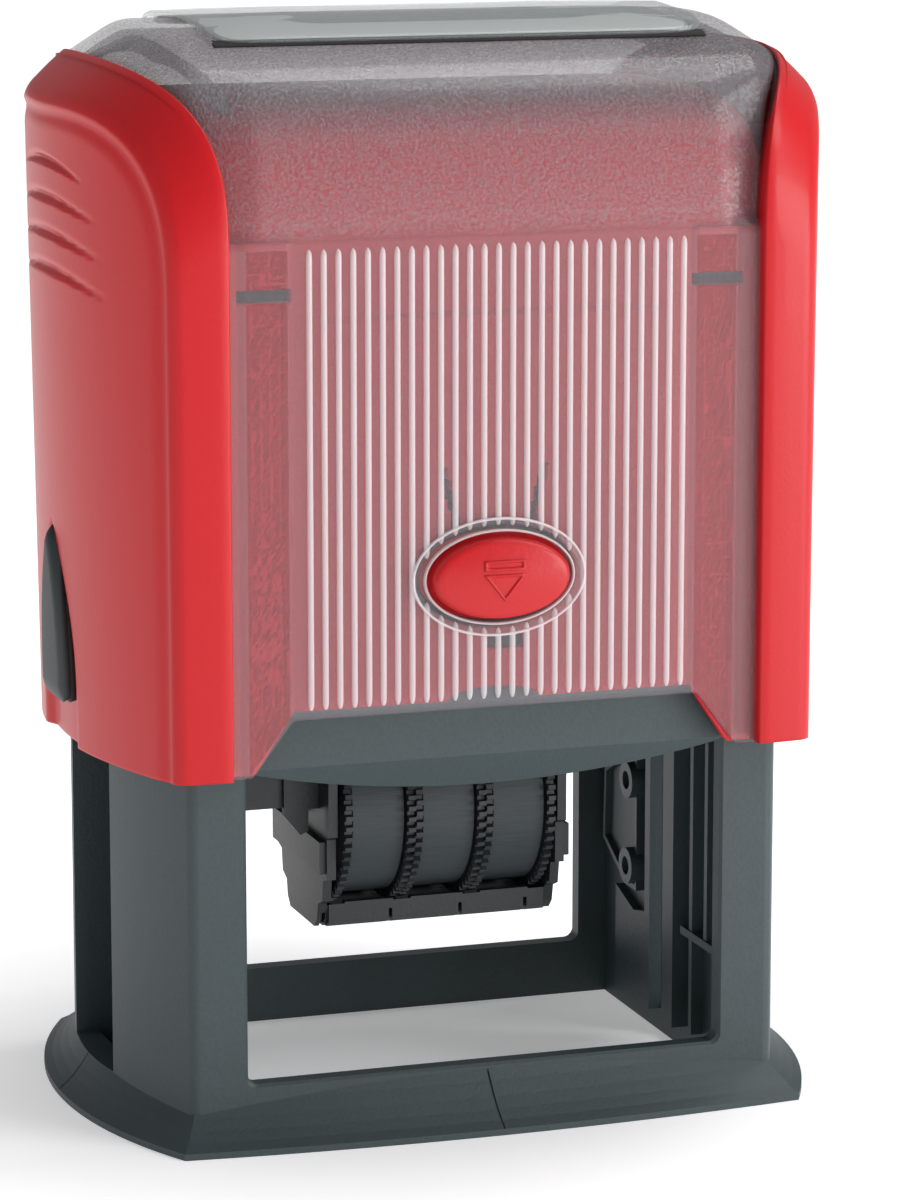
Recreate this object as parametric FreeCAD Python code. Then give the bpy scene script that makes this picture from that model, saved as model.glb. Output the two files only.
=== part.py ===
"""Self-inking rotary date stamp: a base frame, a casing that is pressed down over it, and a
date unit that turns half round on the way down and prints through the open foot.

Millimetres. Origin at the middle of the foot's underside, +X to the right, -Y to the front,
+Z up. The left and right halves mirror each other in the plane X = 0.
"""
import FreeCAD, Part
import math
import os

from FreeCAD import Vector

# The press: how far the casing comes down, and the pivot that the date unit turns about.
STROKE = 34.3
PRINT_RISE = 5.6
PIVOT_Z = STROKE + PRINT_RISE
DIE_FACE_Z = PIVOT_Z + PRINT_RISE
PIN_R = 1.8
RUNNING_GAP = 0.05

# Base frame: a rectangular column with bowed ends on a flared foot.
FOOT_X, FOOT_Y, FOOT_BOW_X, FOOT_BOW_Y = 34.0, 26.7, 6.8, 2.0
FOOT_RIM = 0.7
COLUMN_X, COLUMN_Y, COLUMN_BOW, COLUMN_EDGE = 32.0, 22.9, 5.4, 1.3
COLUMN_TOP = 57.0
WELL_X, WELL_Y = 29.4, 20.9
WINDOW_X, WINDOW_SILL, WINDOW_EDGE = 26.1, 6.2, 1.1
HEAD_MIDDLE, HEAD_END, HEAD_FRONT = 36.0, 39.3, 39.6
DECK_Z, DECK_TOP = 52.0, 54.0
CHANNEL_X, CHANNEL_Y, CHANNEL_FLOOR, CHANNEL_LEDGE = 31.0, 8.0, 2.2, 4.5
PIN_SLOT_Y = 2.3
BAY_X, BAY_Z = 27.5, 46.0

# Casing envelope: straight walls that round over into a dome, which falls away past SHOULDER_X.
DOME_POWER = 2.7
SHOULDER_X, SHOULDER_FALL = 28.5, 0.607
FLANK_X = 44.0
CASING_FOOT = 39.6
CASING_X, CASING_Y, CASING_BOW = 34.2, 27.4, 7.2
COVER_X, COVER_BOW = 28.3, 8.8
COVER_Y, COVER_THICK = 26.2, 1.2
COVER_APEX = 115.2
SEAM = 0.2
INNER_Y, INNER_THICK, INNER_APEX = 24.8, 1.5, 111.8
CUT_TOP_X, CUT_TOP_Z, CUT_FOOT_X = 22.0, 45.3, 26.3
BACK_CUT_X, BACK_CUT_Z = 27.9, 53.0

# Lock button in the front of the casing.
BUTTON_Z, BUTTON_HALF_X, BUTTON_HALF_Z = 59.0, 7.4, 4.2
BUTTON_FACE, BUTTON_REAR, BUTTON_FLANGE = -27.9, -24.9, -24.3

# Date unit: three wheels on one axle, each with a band that runs up to the printing face.
AXLE_Z, AXLE_R = 30.5, 1.2
WHEEL_PITCH, WHEEL_WIDTH, RIM_WIDTH = 7.9, 7.8, 0.8
RIM_R, TOOTH_DEPTH, TEETH = 11.2, 0.6, 60
CHEEK_X, CHEEK_OUT = 12.1, 13.4
HUB_R, BAND_INNER_R, BAND_THICK, BAND_WIDTH = 9.0, 9.2, 1.0, 5.7
PLATEN_R, PLATEN_TRACK_R = 1.4, 1.6
PLATEN_Z = DIE_FACE_Z - PLATEN_TRACK_R - BAND_THICK
PLATE_X, PLATE_Y, PLATE_Z, PLATE_TOP = 26.0, 15.5, 42.0, 43.5
DIE_X, DIE_Y = 25.0, 14.0
LUG_X = 22.5

SPRING_X, SPRING_R, SPRING_WIRE, SPRING_TURNS = 16.0, 5.0, 0.4, 10


def box(x0, x1, y0, y1, z0, z1):
    """A box from its lowest to its highest corner."""
    return Part.makeBox(x1 - x0, y1 - y0, z1 - z0, Vector(x0, y0, z0))


def rod(x0, x1, y, z, radius):
    """A round bar along X."""
    return Part.makeCylinder(radius, x1 - x0, Vector(x0, y, z), Vector(1, 0, 0))


def mirrored(shape):
    """The same shape on the other side of the plane X = 0."""
    return shape.mirror(Vector(0, 0, 0), Vector(1, 0, 0))


def both(shape):
    """A shape and its mirror image as one."""
    return shape.fuse(mirrored(shape))


def fused(shapes):
    """One solid out of several that overlap or share a face."""
    return shapes[0].multiFuse(shapes[1:]).removeSplitter()


def prism_y(points, y0, y1):
    """An outline of (x, z) points, carried from y0 to y1."""
    corners = [Vector(x, y0, z) for x, z in points]
    return Part.Face(Part.makePolygon(corners + corners[:1])).extrude(Vector(0, y1 - y0, 0))


def prism_x(points, x0, x1):
    """An outline of (y, z) points, carried from x0 to x1."""
    corners = [Vector(x0, y, z) for y, z in points]
    return Part.Face(Part.makePolygon(corners + corners[:1])).extrude(Vector(x1 - x0, 0, 0))


def oval(half_x, half_z, z, y0, y1):
    """An oval bar along Y."""
    outline = Part.Ellipse(Vector(0, 0, 0), half_x, half_z).toShape()
    outline.rotate(Vector(0, 0, 0), Vector(1, 0, 0), 90)
    outline.translate(Vector(0, y0, z))
    return Part.Face(Part.Wire(outline)).extrude(Vector(0, y1 - y0, 0))


def side(start, end, bow):
    """One side of a bowed outline: straight, or an arc through its bowed midpoint."""
    if bow.Length == 0:
        return Part.LineSegment(start, end).toShape()
    return Part.Arc(start, (start + end) * 0.5 + bow, end).toShape()


def bowed_outline(corner_x, corner_y, bow_x, bow_y, z):
    """A rectangle whose ends bow out by bow_x, and whose front and back bow out by bow_y."""
    corners = [Vector(sx * corner_x, sy * corner_y, z) for sx, sy in ((-1, -1), (1, -1), (1, 1), (-1, 1))]
    bows = [Vector(0, -bow_y, 0), Vector(bow_x, 0, 0), Vector(0, bow_y, 0), Vector(-bow_x, 0, 0)]
    return Part.Wire([side(corners[i], corners[(i + 1) % 4], bows[i]) for i in range(4)])


def bowed_prism(corner_x, corner_y, bow_x, bow_y, z0, z1):
    """A bowed outline carried from z0 to z1."""
    outline = bowed_outline(corner_x, corner_y, bow_x, bow_y, z0)
    return Part.Face(outline).extrude(Vector(0, 0, z1 - z0))


def dome_section(x, half_depth, apex, rise):
    """A section across the casing: straight walls that close in a superellipse at the top."""
    steps = 12
    arch = []
    for i in range(-steps, steps + 1):
        turn = 0.5 * math.pi * i / steps
        reach = math.copysign(abs(math.sin(turn)) ** (2 / DOME_POWER), turn)
        fall = rise * (1 - abs(math.cos(turn)) ** (2 / DOME_POWER))
        arch.append(Vector(x, half_depth * reach, apex - fall))
    curve = Part.BSplineCurve()
    curve.interpolate(arch)
    low_front = Vector(x, -half_depth, CASING_FOOT)
    low_back = Vector(x, half_depth, CASING_FOOT)
    return Part.Wire([Part.LineSegment(low_front, arch[0]).toShape(), curve.toShape(),
                      Part.LineSegment(arch[-1], low_back).toShape(),
                      Part.LineSegment(low_back, low_front).toShape()])


def dome(half_depth, apex, rise):
    """The casing's form: its dome is level to SHOULDER_X and falls evenly to the flanks."""
    fall = SHOULDER_FALL * (FLANK_X - SHOULDER_X)
    stations = ((-FLANK_X, apex - fall), (-SHOULDER_X, apex), (SHOULDER_X, apex), (FLANK_X, apex - fall))
    return Part.makeLoft([dome_section(x, half_depth, top, rise) for x, top in stations], True, True)


def window_outline(grow, y):
    """The big window's outline, grow mm larger all round: its head sags to the middle in an arc."""
    half, sill = WINDOW_X + grow, WINDOW_SILL - grow
    step = WINDOW_EDGE * (1 - math.sqrt(0.5))
    low_left, low_right = Vector(-half, y, sill + WINDOW_EDGE), Vector(half, y, sill + WINDOW_EDGE)
    sill_left, sill_right = Vector(WINDOW_EDGE - half, y, sill), Vector(half - WINDOW_EDGE, y, sill)
    head_left, head_right = Vector(-half, y, HEAD_END + grow), Vector(half, y, HEAD_END + grow)
    edges = [Part.LineSegment(head_left, low_left),
             Part.Arc(low_left, Vector(step - half, y, sill + step), sill_left),
             Part.LineSegment(sill_left, sill_right),
             Part.Arc(sill_right, Vector(half - step, y, sill + step), low_right),
             Part.LineSegment(low_right, head_right),
             Part.Arc(head_right, Vector(0, y, HEAD_MIDDLE + grow), head_left)]
    return Part.Wire([edge.toShape() for edge in edges])


def window_cut():
    """The window through front and back, with a small chamfer round its front edge."""
    front, reach = -COLUMN_Y, 2 * COLUMN_Y + 2
    through = Part.Face(window_outline(0, front - 1)).extrude(Vector(0, reach, 0))
    chamfer = Part.makeLoft([window_outline(0.32, front - 0.02), window_outline(0, front + 0.3)], True, True)
    return through.fuse(chamfer)


def foot_slope(inset):
    """The foot's hollow-curved slope, inset mm smaller: its front and back climb higher midway."""
    outlines = []
    for run in (0.0, 1.2, 2.4, 3.6, 4.9, 6.2):
        rise = FOOT_RIM + 0.45 * run + 0.07 * run ** 2
        outlines.append(bowed_outline(FOOT_X - 0.526 * run - inset, FOOT_Y - run - inset,
                                      FOOT_BOW_X - 0.168 * run, FOOT_BOW_Y, rise))
    return Part.makeLoft(outlines, True, True)


def parting_grooves():
    """Fine grooves down the middle of each side of the foot's slope, 0.25 mm deep."""
    rise = FOOT_RIM + 0.45 * 6.2 + 0.07 * 6.2 ** 2
    lines = box(-0.12, 0.12, -30, 30, FOOT_RIM, rise).fuse(box(-42, 42, -0.12, 0.12, FOOT_RIM, CHANNEL_LEDGE))
    return lines.cut(foot_slope(0.25)).cut(bowed_prism(COLUMN_X, COLUMN_Y, COLUMN_BOW, 0, 0, COLUMN_TOP))


def guide_details():
    """Ribs, a ledge, an outlined plate and two ring bosses on the well's right side wall."""
    details = []
    for z in (17.9, 27.8):
        ring = rod(27.3, WELL_X + 0.5, 8.8, z, 2.05).cut(rod(27.2, 29.0, 8.8, z, 1.05))
        details.append(ring)
    plate = [(7.4, 44.0), (7.4, 15.2), (10.7, 15.2), (18.2, 19.0), (17.8, 27.4), (12.6, 30.0), (12.6, 44.0)]
    hollow = [(8.0, 43.4), (8.0, 15.8), (10.5, 15.8), (17.6, 19.4), (17.2, 27.0), (12.0, 29.6), (12.0, 43.4)]
    details.append(prism_x(plate, 28.1, WELL_X + 0.5).cut(prism_x(hollow, 28.0, 28.8)))
    details.append(prism_x([(4.0, 2.4), (14.7, 2.0), (14.7, 14.3), (9.0, 12.6), (4.0, 13.6)], 28.4, WELL_X + 0.5))
    details.append(box(27.5, WELL_X + 0.5, -5.6, -2.4, 2.8, 44.0))
    details.append(box(27.8, WELL_X + 0.5, 2.4, 3.9, 2.8, 44.0))
    for y, low in ((-10.2, 3.2), (-14.5, 14.0)):
        details.append(box(28.0, WELL_X + 0.5, y, y + 0.9, low, 44.0))
    details.append(box(27.8, WELL_X + 0.5, -WELL_Y - 0.5, -7.2, 14.0, 14.9))
    details.append(box(26.5, WELL_X + 0.5, -WELL_Y - 0.5, WELL_Y + 0.5, 47.6, 48.9))
    return details


def base_frame():
    """Foot, hollow column, windows, deck, side channels and guides, moulded in one piece."""
    rim = bowed_prism(FOOT_X, FOOT_Y, FOOT_BOW_X, FOOT_BOW_Y, 0, FOOT_RIM)
    column = bowed_prism(COLUMN_X, COLUMN_Y, COLUMN_BOW, 0, 0, COLUMN_TOP)
    upright = [edge for edge in column.Edges if abs(edge.tangentAt(edge.FirstParameter).z) > 0.99]
    frame = fused([rim, foot_slope(0), column.makeFillet(COLUMN_EDGE, upright)])
    frame = frame.cut(box(-WELL_X, WELL_X, -WELL_Y, WELL_Y, -1, DECK_Z))
    frame = frame.cut(box(-WELL_X, WELL_X, -WELL_Y, WELL_Y, DECK_TOP, COLUMN_TOP + 1))
    frame = frame.cut(window_cut()).cut(parting_grooves())
    channel = box(CHANNEL_X, FLANK_X, -CHANNEL_Y, CHANNEL_Y, CHANNEL_LEDGE, COLUMN_TOP + 1)
    pocket = box(CHANNEL_X, 34.3, -CHANNEL_Y, CHANNEL_Y, CHANNEL_FLOOR, CHANNEL_LEDGE + 1)
    slot = box(WELL_X - 1, CHANNEL_X + 1, -PIN_SLOT_Y, PIN_SLOT_Y, 3.2, COLUMN_TOP + 1)
    for cut in (channel, pocket, slot):
        frame = frame.cut(both(cut))
    frame = frame.cut(box(-BAY_X, BAY_X, WELL_Y - 1, COLUMN_Y + 1, BAY_Z, DECK_Z))
    undercut = [(-COLUMN_Y - 1, HEAD_MIDDLE - 1), (-COLUMN_Y - 1, HEAD_FRONT), (-COLUMN_Y, HEAD_FRONT),
                (-WELL_Y, HEAD_MIDDLE), (-WELL_Y, HEAD_MIDDLE - 1)]
    frame = frame.cut(prism_x(undercut, -WINDOW_X, WINDOW_X))
    details = guide_details()
    return fused([frame] + details + [mirrored(detail) for detail in details])


def ink_pad_cartridge():
    """A tray, open downwards, with a slide flange on each side and a grip at the back."""
    tray = box(-26.2, 26.2, -20.3, 22.6, 46.4, 51.7)
    tray = tray.cut(box(-25.0, 25.0, -18.6, 18.6, 46.0, 50.3))
    flange = box(26.2, 27.2, -20.3, 22.6, 49.0, 50.4)
    grip = box(-9.0, 9.0, 22.6, COLUMN_Y, 47.2, 50.8)
    return fused([tray, flange, mirrored(flange), grip])


def ink_pad_foam():
    """The inked felt, fast to the tray's roof and facing down."""
    return box(-24.9, 24.9, -18.5, 18.5, 46.4, 50.3)


def arch(reach, x0, x1):
    """A pointed arch on the casing's end, reach mm larger all round, carried from x0 to x1."""
    half, foot_z, tip_z, bulge = 4.0 + reach, 44.5 - reach, 61.0 + reach, 0.9
    foot_back, foot_front = Vector(x0, half, foot_z), Vector(x0, -half, foot_z)
    tip = Vector(x0, 0, tip_z)
    mid_z = 0.5 * (foot_z + tip_z)
    front = Part.Arc(foot_front, Vector(x0, -0.5 * half - bulge, mid_z), tip).toShape()
    back = Part.Arc(tip, Vector(x0, 0.5 * half + bulge, mid_z), foot_back).toShape()
    foot = Part.LineSegment(foot_back, foot_front).toShape()
    return Part.Face(Part.Wire([front, back, foot])).extrude(Vector(x1 - x0, 0, 0))


def front_cut(y0, y1):
    """The trapezium cut out of the casing's lower front edge."""
    return prism_y([(-CUT_FOOT_X, CASING_FOOT - 1), (-CUT_TOP_X, CUT_TOP_Z), (CUT_TOP_X, CUT_TOP_Z),
                    (CUT_FOOT_X, CASING_FOOT - 1)], y0, y1)


def back_cut(y0, y1):
    """The taller opening at the back, through which the ink pad is changed."""
    return box(-BACK_CUT_X, BACK_CUT_X, y0, y1, CASING_FOOT - 1, BACK_CUT_Z)


def casing_panels():
    """Left and right side panels: bowed ends with a band that wraps round front, top and back."""
    outer = dome(CASING_Y, 115.5, 24.0).common(
        bowed_prism(CASING_X, CASING_Y, CASING_BOW, 0, CASING_FOOT, 120))
    inner = dome(24.6, 113.3, 22.0).common(bowed_prism(32.9, 24.6, 5.0, 0, CASING_FOOT - 1, 120))
    middle = bowed_prism(COVER_X + SEAM, CASING_Y + 1, COVER_BOW, 0, CASING_FOOT - 1, 120)
    return outer.cut(inner).cut(middle).cut(both(arch(0, 37.0, 43.0)))


def casing_shell():
    """The moulded casing: side panels, inner body with a domed top, guide arms and spring posts."""
    hollow = dome(INNER_Y - INNER_THICK, INNER_APEX - INNER_THICK, 19.0)
    body = dome(INNER_Y, INNER_APEX, 20.0).cut(hollow).common(box(-33.2, 33.2, -30, 30, 39, 120))
    body = body.cut(front_cut(-30, 0)).cut(back_cut(0, 30))
    body = body.cut(oval(8.8, 5.6, BUTTON_Z, -26, -20)).cut(box(-4.4, 4.4, -26, -20, 47.0, 70.6))
    for x in (-27.3, 21.5):
        body = body.cut(box(x, x + 5.8, -26, -20, 88.0, 89.3))
    arm = box(31.4, 34.0, -7.0, 7.0, 37.0, 108.2)
    arm = arm.fuse(box(33.9, 38.2, -1.0, 1.0, 62.5, 104.0)).cut(rod(30.0, 33.4, 0, PIVOT_Z, PIN_R))
    post = Part.makeCylinder(3.6, 19.8, Vector(SPRING_X, 0, 91.0))
    return fused([casing_panels(), body, arm, mirrored(arm), post, mirrored(post)])


def translucent_cover():
    """The clear cover: front, top and back in one, with an oval collar round the lock button."""
    rise = 22.0
    shell = dome(COVER_Y, COVER_APEX, rise).cut(
        dome(COVER_Y - COVER_THICK, COVER_APEX - COVER_THICK, rise - 1.0))
    shell = shell.common(bowed_prism(COVER_X, CASING_Y, COVER_BOW, 0, CASING_FOOT, 120))
    shell = shell.cut(front_cut(-30, 0)).cut(back_cut(0, 30))
    shell = shell.fuse(oval(9.5, 6.3, BUTTON_Z, -COVER_Y - 0.7, -COVER_Y + COVER_THICK))
    return shell.cut(oval(BUTTON_HALF_X + 0.3, BUTTON_HALF_Z + 0.3, BUTTON_Z, -30, -20))


def top_slab(low, high, half_x, half_y):
    """A sheet that follows the cover's dome, from low to high above its own apex."""
    rise = 22.0
    sheet = dome(COVER_Y, COVER_APEX + high, rise).cut(dome(COVER_Y, COVER_APEX + low, rise))
    return sheet.common(box(-half_x, half_x, -half_y, half_y, 100, 120))


def label_window():
    """The clear cap over the label: a thin sheet on a rim that rests on the cover."""
    sheet = top_slab(0.35, 0.9, 27.0, 15.0)
    rim = top_slab(0, 0.4, 27.0, 15.0).cut(box(-26.2, 26.2, -14.2, 14.2, 100, 120))
    return fused([sheet, rim])


def lock_button():
    """An oval key with a retaining flange behind the cover."""
    return fused([oval(BUTTON_HALF_X, BUTTON_HALF_Z, BUTTON_Z, BUTTON_FACE, BUTTON_REAR),
                  oval(8.3, 5.1, BUTTON_Z, BUTTON_REAR, BUTTON_FLANGE)])


def lock_slider():
    """The dark latch plate behind the button, seen above and below it through the cover."""
    return box(-3.9, 3.9, BUTTON_FLANGE, BUTTON_FLANGE + 0.5, 47.6, 70.0)


def return_spring(x):
    """A compression spring from the base's deck to the casing's domed top."""
    height = INNER_APEX - INNER_THICK - DECK_TOP - 2 * SPRING_WIRE - 0.2
    path = Part.Wire(Part.makeHelix(height / SPRING_TURNS, height, SPRING_R).Edges)
    section = Part.Wire(Part.Circle(Vector(SPRING_R, 0, 0), Vector(0, 1, 0), SPRING_WIRE).toShape())
    spring = path.makePipeShell([section], True, True)
    spring.translate(Vector(x, 0, DECK_TOP + SPRING_WIRE + 0.1))
    return spring


def holder_plate():
    """The plate that carries the text die, with a bearing lug at each end for the pivot pins."""
    plate = box(-PLATE_X, PLATE_X, -PLATE_Y, PLATE_Y, PLATE_Z, PLATE_TOP)
    plate = plate.cut(box(-12.4, 12.4, -4.4, 4.4, PLATE_Z - 1, PLATE_TOP + 1))
    lug = rod(LUG_X, PLATE_X, 0, PIVOT_Z, 4.4).common(box(LUG_X, PLATE_X, -5, 5, 30, PIVOT_Z))
    lug = lug.fuse(box(LUG_X, PLATE_X, -4.4, 4.4, PIVOT_Z, PLATE_Z))
    plate = fused([plate, lug, mirrored(lug)])
    return plate.cut(both(rod(LUG_X - 1, PLATE_X + 1, 0, PIVOT_Z, PIN_R + RUNNING_GAP)))


def date_unit_frame():
    """Two stepped cheeks, the notched trough that joins them, and the setting arm at the left."""
    half = [(6.0, PLATE_Z), (10.0, 37.5), (10.0, 28.6), (9.3, 28.2), (9.3, 23.8), (7.8, 23.4), (7.4, 21.0),
            (5.9, 20.4), (5.5, 18.6), (4.5, 17.6)]
    outline = half + [(-y, z) for y, z in reversed(half)]
    cheek = prism_x(outline, CHEEK_X, CHEEK_OUT)
    wing = box(CHEEK_OUT - 0.1, 14.1, -8.9, 8.9, 24.4, 27.9)
    block = box(CHEEK_OUT - 0.1, 14.6, -6.2, 6.2, 31.0, 37.6)
    end = fused([cheek, wing, block]).cut(rod(CHEEK_X - 1, 15.0, 0, AXLE_Z, AXLE_R))
    arm = box(-21.6, -14.5, -5.6, -1.6, 31.2, 34.6).fuse(box(-21.6, -19.0, -5.6, -1.6, 34.5, 35.4))
    gusset = prism_y([(-17.2, 36.2), (-17.2, 30.4), (-15.4, 28.2), (-14.5, 28.6), (-14.5, 36.2)], -6.2, -5.4)
    trough = box(-CHEEK_X - 0.1, CHEEK_X + 0.1, -5.0, 5.0, 17.6, 18.9)
    lips = [box(-CHEEK_X - 0.1, CHEEK_X + 0.1, y, y + 1.0, 17.9, 20.4) for y in (-6.0, 5.0)]
    frame = fused([end, mirrored(end), arm, gusset, trough] + lips)
    for x in (-11.4, -3.95, 3.95, 11.4):
        frame = frame.cut(rod(x - 1.0, x + 1.0, 0, AXLE_Z, RIM_R + 0.7))
        frame = frame.cut(box(x - 1.5, x - 1.1, -7, -3.4, 17.0, 19.3))
    return frame


def date_window():
    """The opening in the middle of the text die, through which the bands print."""
    return box(-13.0, 13.0, -4.0, 4.0, PLATE_TOP - 1, DIE_FACE_Z + 1)


def die_tape():
    """The foam layer between the plate and the text die."""
    return box(-DIE_X, DIE_X, -DIE_Y, DIE_Y, PLATE_TOP, 44.1).cut(date_window())


def text_die():
    """The rubber text plate: a thin sheet with a raised border and plain raised lines."""
    sheet = box(-DIE_X, DIE_X, -DIE_Y, DIE_Y, 44.1, 45.0)
    border = box(-24.4, 24.4, -13.4, 13.4, 44.9, DIE_FACE_Z)
    border = border.cut(box(-23.6, 23.6, -12.6, 12.6, 44, 46))
    lines = []
    for y, half in ((9.6, 15.0), (6.6, 19.0), (-7.4, 19.0), (-10.4, 12.0)):
        lines.append(box(-half, half, y - 0.6, y + 0.6, 44.9, DIE_FACE_Z))
    return fused([sheet, border] + lines).cut(date_window())


def wheel(x):
    """A setting wheel: a hub inside the band, between two toothed rims half a tooth apart."""
    low, high = x - 0.5 * WHEEL_WIDTH, x + 0.5 * WHEEL_WIDTH
    rims = []
    for start, rim_low in ((0.0, low), (0.5, high - RIM_WIDTH)):
        rim_face = []
        for i in range(TEETH):
            for part_turn, radius in ((0.05, RIM_R), (0.45, RIM_R), (0.58, RIM_R - TOOTH_DEPTH),
                                      (0.92, RIM_R - TOOTH_DEPTH)):
                turn = 2 * math.pi * (start + i + part_turn) / TEETH
                rim_face.append((radius * math.sin(turn), AXLE_Z + radius * math.cos(turn)))
        rims.append(prism_x(rim_face, rim_low, rim_low + RIM_WIDTH))
    hub = rod(low + 0.1, high - 0.1, 0, AXLE_Z, HUB_R)
    return fused([hub] + rims).cut(rod(low - 1, high + 1, 0, AXLE_Z, AXLE_R + RUNNING_GAP))


def loop_face(big, small, x):
    """A face round a big circle at the axle and a small one at the platen, with its tangents."""
    lean = math.asin((big - small) / (PLATEN_Z - AXLE_Z))
    reach, lift = math.cos(lean), math.sin(lean)
    low_y, low_z = big * reach, AXLE_Z + big * lift
    high_y, high_z = small * reach, PLATEN_Z + small * lift
    bottom = Part.Arc(Vector(x, low_y, low_z), Vector(x, 0, AXLE_Z - big), Vector(x, -low_y, low_z))
    top = Part.Arc(Vector(x, -high_y, high_z), Vector(x, 0, PLATEN_Z + small), Vector(x, high_y, high_z))
    left = Part.LineSegment(Vector(x, -low_y, low_z), Vector(x, -high_y, high_z))
    right = Part.LineSegment(Vector(x, high_y, high_z), Vector(x, low_y, low_z))
    return Part.Face(Part.Wire([piece.toShape() for piece in (bottom, left, top, right)]))


def date_platen():
    """The bar behind the bands' printing face, flat underneath to clear the toothed rims."""
    return rod(-CHEEK_X, CHEEK_X, 0, PLATEN_Z, PLATEN_R).common(box(-13, 13, -2, 2, AXLE_Z + RIM_R + 0.1, 46))


def band(x):
    """A rubber band round a wheel's hub and the platen."""
    low = x - 0.5 * BAND_WIDTH
    along = Vector(BAND_WIDTH, 0, 0)
    outer = loop_face(BAND_INNER_R + BAND_THICK, PLATEN_TRACK_R + BAND_THICK, low).extrude(along)
    return outer.cut(loop_face(BAND_INNER_R, PLATEN_TRACK_R, low).extrude(along))


pin = rod(22.7, 33.4, 0, PIVOT_Z, PIN_R)
insert = arch(0, 38.2, 40.7)
solids = {
    "base_frame": base_frame(),
    "ink_pad_cartridge": ink_pad_cartridge(),
    "ink_pad_foam": ink_pad_foam(),
    "casing_shell": casing_shell(),
    "side_insert_left": mirrored(insert),
    "side_insert_right": insert,
    "translucent_cover": translucent_cover(),
    "label_card": top_slab(0.05, 0.3, 26.0, 14.0),
    "label_window": label_window(),
    "lock_button": lock_button(),
    "lock_slider": lock_slider(),
    "pivot_pin_left": mirrored(pin),
    "pivot_pin_right": pin,
    "holder_plate": holder_plate(),
    "die_tape": die_tape(),
    "text_die": text_die(),
    "date_unit_frame": date_unit_frame(),
    "date_platen": date_platen(),
    "wheel_axle": rod(-14.6, 14.6, 0, AXLE_Z, AXLE_R),
}
for side_name, side_x in (("left", -SPRING_X), ("right", SPRING_X)):
    solids["return_spring_" + side_name] = return_spring(side_x)
for place, unit in enumerate(("day", "month", "year")):
    unit_x = (place - 1) * WHEEL_PITCH
    solids[unit + "_wheel"] = wheel(unit_x)
    solids[unit + "_band"] = band(unit_x)

os.makedirs("parts", exist_ok=True)
for node, solid in solids.items():
    solid.exportStep("parts/" + node + ".step")
    print(node, len(solid.Solids), round(solid.Volume), solid.isValid())
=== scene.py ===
import math

import bmesh
import bpy
import numpy as np
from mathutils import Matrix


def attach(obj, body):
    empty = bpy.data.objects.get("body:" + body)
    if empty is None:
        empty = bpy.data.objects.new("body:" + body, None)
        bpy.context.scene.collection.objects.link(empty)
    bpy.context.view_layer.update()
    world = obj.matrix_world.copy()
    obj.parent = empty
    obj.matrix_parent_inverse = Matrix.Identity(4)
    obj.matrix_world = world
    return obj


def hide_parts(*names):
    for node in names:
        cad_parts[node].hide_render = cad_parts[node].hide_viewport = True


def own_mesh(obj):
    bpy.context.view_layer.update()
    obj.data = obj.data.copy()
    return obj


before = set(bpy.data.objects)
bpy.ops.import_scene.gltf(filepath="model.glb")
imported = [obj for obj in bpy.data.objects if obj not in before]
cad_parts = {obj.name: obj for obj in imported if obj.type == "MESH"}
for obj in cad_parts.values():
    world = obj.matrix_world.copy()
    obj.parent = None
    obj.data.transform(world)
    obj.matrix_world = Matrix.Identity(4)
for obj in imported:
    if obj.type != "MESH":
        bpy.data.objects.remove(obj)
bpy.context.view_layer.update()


# --- Camera, light and floor -----------------------------------------------------------------
# A long lens looks slightly down at the stamp's front left corner. A white room, three soft boxes
# at the right and above and a weak one at the left light it, and it stands on a pale floor.
MM = 0.001
camera = bpy.data.objects.new("camera", bpy.data.cameras.new("camera"))
camera.data.lens, camera.data.sensor_width = 140.8, 36.0
camera.data.clip_start, camera.data.clip_end = 0.02, 20.0
camera.location = (-154.42 * MM, -473.65 * MM, 147.74 * MM)
camera.rotation_euler = (math.radians(90 - 10.91), 0, math.radians(-18.44))
bpy.context.collection.objects.link(camera)
bpy.context.scene.camera = camera
bpy.context.scene.view_settings.view_transform = "Standard"


def soft_box(name, place, aim, size, watts):
    """A square area lamp at place, turned to face aim."""
    lamp = bpy.data.lights.new(name, "AREA")
    lamp.energy, lamp.size = watts, size
    holder = bpy.data.objects.new(name, lamp)
    holder.location = place
    away = np.array(place, float) - np.array(aim, float)
    pan = math.atan2(away[0], -away[1])
    tilt = math.acos(away[2] / np.linalg.norm(away))
    holder.rotation_euler = (tilt, 0, pan)
    bpy.context.collection.objects.link(holder)


soft_box("key_box", (0.46, -0.36, 0.50), (0, 0, 0.07), 0.30, 1.55)
soft_box("low_box", (0.48, -0.48, 0.06), (0, 0, 0.07), 0.34, 2.8)
soft_box("fill_box", (-0.60, -0.25, 0.30), (0, 0, 0.06), 0.40, 0.06)
soft_box("top_box", (0.30, 0.06, 0.70), (0, 0, 0.10), 0.30, 1.5)

room = bpy.data.worlds.new("white_room")
room.use_nodes = True
room.node_tree.nodes["Background"].inputs["Color"].default_value = (0.97, 0.98, 1.0, 1)
# The room lights the stamp dimly, and is plain white where the camera sees it.
ROOM_LIGHT, ROOM_SEEN = 0.31, 1.0
seen, strength = (room.node_tree.nodes.new("ShaderNode" + kind) for kind in ("LightPath", "MapRange"))
strength.inputs["To Min"].default_value, strength.inputs["To Max"].default_value = ROOM_LIGHT, ROOM_SEEN
room.node_tree.links.new(seen.outputs["Is Camera Ray"], strength.inputs["Value"])
room.node_tree.links.new(strength.outputs["Result"], room.node_tree.nodes["Background"].inputs["Strength"])
bpy.context.scene.world = room


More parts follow.
